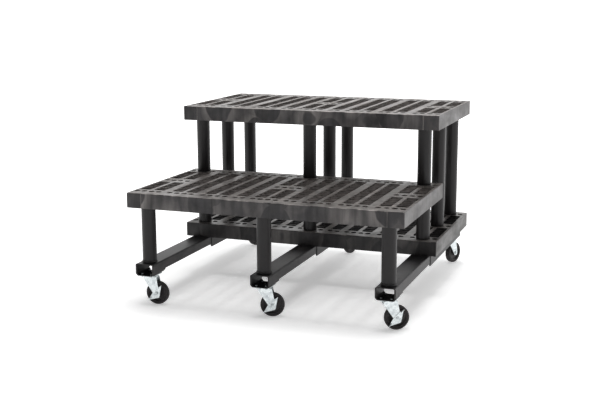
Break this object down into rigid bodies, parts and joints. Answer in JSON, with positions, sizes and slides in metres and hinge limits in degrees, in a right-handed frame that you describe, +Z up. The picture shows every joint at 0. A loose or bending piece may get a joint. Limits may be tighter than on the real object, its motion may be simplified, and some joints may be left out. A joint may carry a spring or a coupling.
{
  "type": "two-step rolling riser",
  "caption": "Two-step riser with vented moulded decks over a low shelf, on pipe posts, beams and braked swivel casters.",
  "frame": {"origin": "on the floor, under the middle of the bounding box with the casters as stored", "axes": "+Z up, +X along the decks, +Y from the low front step to the high back"},
  "size_m": [1.6806, 1.7144, 1.1115],
  "materials": {
    "deck_plastic": "moulded recycled plastic, charcoal grey with cloudy flow marks",
    "post_pipe": "extruded black pipe",
    "beam_plastic": "moulded plastic, dark grey",
    "coupler_plastic": "moulded plastic, black",
    "zinc_steel": "bright zinc-plated pressed steel",
    "bolt_steel": "zinc-plated fasteners",
    "wheel_rubber": "black moulded wheel"
  },
  "bodies": {
    "riser": {"top_deck": "deck_plastic", "step_deck": "deck_plastic", "base_shelf": "deck_plastic", "left_front_leg": "post_pipe", "left_seam_post": "post_pipe", "left_upper_post": "post_pipe", "left_inner_post": "post_pipe", "left_rear_post": "post_pipe", "left_front_beam": "beam_plastic", "left_rear_beam": "beam_plastic", "left_beam_coupler": "coupler_plastic", "left_front_plate": "zinc_steel", "left_rear_plate": "zinc_steel", "centre_front_leg": "post_pipe", "centre_seam_post": "post_pipe", "centre_upper_post": "post_pipe", "centre_inner_post": "post_pipe", "centre_rear_post": "post_pipe", "centre_front_beam": "beam_plastic", "centre_rear_beam": "beam_plastic", "centre_beam_coupler": "coupler_plastic", "centre_front_plate": "zinc_steel", "centre_rear_plate": "zinc_steel", "right_front_leg": "post_pipe", "right_seam_post": "post_pipe", "right_upper_post": "post_pipe", "right_inner_post": "post_pipe", "right_rear_post": "post_pipe", "right_front_beam": "beam_plastic", "right_rear_beam": "beam_plastic", "right_beam_coupler": "coupler_plastic", "right_front_plate": "zinc_steel", "right_rear_plate": "zinc_steel", "caster_bolts": "bolt_steel", "caster_nuts": "bolt_steel"},
    "left_front_swivel": {"left_front_fork": "zinc_steel", "left_front_axle": "bolt_steel"},
    "left_front_roller": {"left_front_wheel": "wheel_rubber"},
    "left_front_brake": {"left_front_brake_rocker": "zinc_steel"},
    "left_rear_swivel": {"left_rear_fork": "zinc_steel", "left_rear_axle": "bolt_steel"},
    "left_rear_roller": {"left_rear_wheel": "wheel_rubber"},
    "centre_front_swivel": {"centre_front_fork": "zinc_steel", "centre_front_axle": "bolt_steel"},
    "centre_front_roller": {"centre_front_wheel": "wheel_rubber"},
    "centre_front_brake": {"centre_front_brake_rocker": "zinc_steel"},
    "centre_rear_swivel": {"centre_rear_fork": "zinc_steel", "centre_rear_axle": "bolt_steel"},
    "centre_rear_roller": {"centre_rear_wheel": "wheel_rubber"},
    "right_front_swivel": {"right_front_fork": "zinc_steel", "right_front_axle": "bolt_steel"},
    "right_front_roller": {"right_front_wheel": "wheel_rubber"},
    "right_front_brake": {"right_front_brake_rocker": "zinc_steel"},
    "right_rear_swivel": {"right_rear_fork": "zinc_steel", "right_rear_axle": "bolt_steel"},
    "right_rear_roller": {"right_rear_wheel": "wheel_rubber"}
  },
  "joints": [
    {"name": "left_front_swivel_turn", "type": "hinge", "parent": "riser", "child": "left_front_swivel", "pos_m": [-0.7366, -0.77965, 0.1836], "axis": [0, 0, 1], "continuous": true},
    {"name": "left_front_wheel_spin", "type": "hinge", "parent": "left_front_swivel", "child": "left_front_roller", "pos_m": [-0.69071, -0.77644, 0.07], "axis": [0.0698, -0.9976, 0], "continuous": true},
    {"name": "left_front_brake_tip", "type": "hinge", "parent": "left_front_swivel", "child": "left_front_brake", "pos_m": [-0.69071, -0.77644, 0.07], "axis": [0.0698, -0.9976, 0], "range_deg": [-20, 0]},
    {"name": "left_rear_swivel_turn", "type": "hinge", "parent": "riser", "child": "left_rear_swivel", "pos_m": [-0.7366, 0.74435, 0.1836], "axis": [0, 0, 1], "continuous": true},
    {"name": "left_rear_wheel_spin", "type": "hinge", "parent": "left_rear_swivel", "child": "left_rear_roller", "pos_m": [-0.7136, 0.78418, 0.07], "axis": [0.866, -0.5, 0], "continuous": true},
    {"name": "centre_front_swivel_turn", "type": "hinge", "parent": "riser", "child": "centre_front_swivel", "pos_m": [0, -0.77965, 0.1836], "axis": [0, 0, 1], "continuous": true},
    {"name": "centre_front_wheel_spin", "type": "hinge", "parent": "centre_front_swivel", "child": "centre_front_roller", "pos_m": [0.04422, -0.76697, 0.07], "axis": [0.2756, -0.9613, 0], "continuous": true},
    {"name": "centre_front_brake_tip", "type": "hinge", "parent": "centre_front_swivel", "child": "centre_front_brake", "pos_m": [0.04422, -0.76697, 0.07], "axis": [0.2756, -0.9613, 0], "range_deg": [-20, 0]},
    {"name": "centre_rear_swivel_turn", "type": "hinge", "parent": "riser", "child": "centre_rear_swivel", "pos_m": [0, 0.74435, 0.1836], "axis": [0, 0, 1], "continuous": true},
    {"name": "centre_rear_wheel_spin", "type": "hinge", "parent": "centre_rear_swivel", "child": "centre_rear_roller", "pos_m": [0.01268, 0.78856, 0.07], "axis": [0.9613, -0.2756, 0], "continuous": true},
    {"name": "right_front_swivel_turn", "type": "hinge", "parent": "riser", "child": "right_front_swivel", "pos_m": [0.7366, -0.77965, 0.1836], "axis": [0, 0, 1], "continuous": true},
    {"name": "right_front_wheel_spin", "type": "hinge", "parent": "right_front_swivel", "child": "right_front_roller", "pos_m": [0.77644, -0.75665, 0.07], "axis": [0.5, -0.866, 0], "continuous": true},
    {"name": "right_front_brake_tip", "type": "hinge", "parent": "right_front_swivel", "child": "right_front_brake", "pos_m": [0.77644, -0.75665, 0.07], "axis": [0.5, -0.866, 0], "range_deg": [-20, 0]},
    {"name": "right_rear_swivel_turn", "type": "hinge", "parent": "riser", "child": "right_rear_swivel", "pos_m": [0.7366, 0.74435, 0.1836], "axis": [0, 0, 1], "continuous": true},
    {"name": "right_rear_wheel_spin", "type": "hinge", "parent": "right_rear_swivel", "child": "right_rear_roller", "pos_m": [0.75383, 0.787, 0.07], "axis": [0.9272, -0.3746, 0], "continuous": true}
  ]
}
